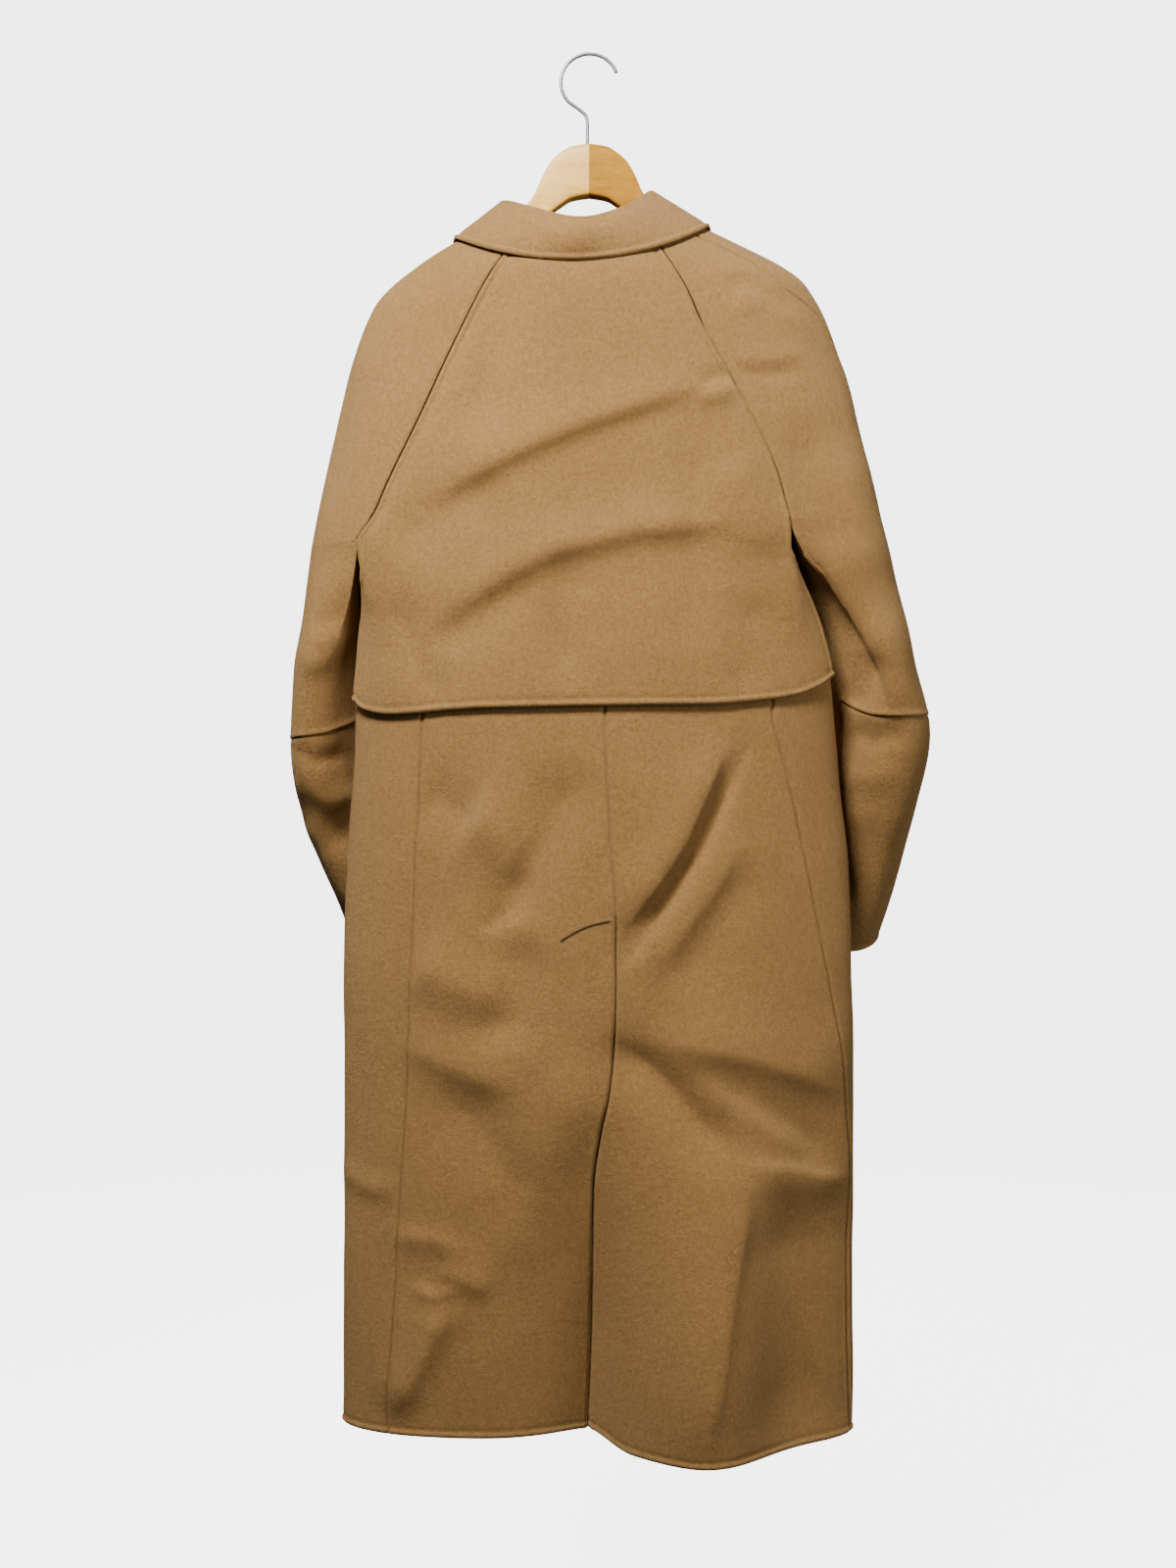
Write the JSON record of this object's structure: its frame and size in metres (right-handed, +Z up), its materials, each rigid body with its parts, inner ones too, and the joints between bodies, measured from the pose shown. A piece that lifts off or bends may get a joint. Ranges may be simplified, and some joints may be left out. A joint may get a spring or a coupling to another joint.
{
  "type": "wool overcoat on a wooden hanger",
  "caption": "Long camel wool overcoat with raglan sleeves, loose back cape and turned-down collar, hanging open-hemmed on a shaped wooden hanger with a metal hook.",
  "frame": {"origin": "inner top of the hook, where the hanger hangs on its rail", "axes": "+Z up, +X toward the wearer's right, -Y toward the coat's back"},
  "size_m": [0.6235, 0.2782, 1.3333],
  "materials": {
    "wool": "brushed",
    "wood": "satin",
    "hook": "polished"
  },
  "bodies": {
    "root": {"back_left": "wool", "back_right": "wool", "front_left": "wool", "front_right": "wool", "cape_back": "wool", "sleeve_left_back_upper": "wool", "sleeve_left_back_lower": "wool", "sleeve_left_front": "wool", "sleeve_right_back_upper": "wool", "sleeve_right_back_lower": "wool", "sleeve_right_front": "wool", "collar": "wool", "hanger_wood": "wood", "hanger_hook": "hook"}
  },
  "joints": []
}
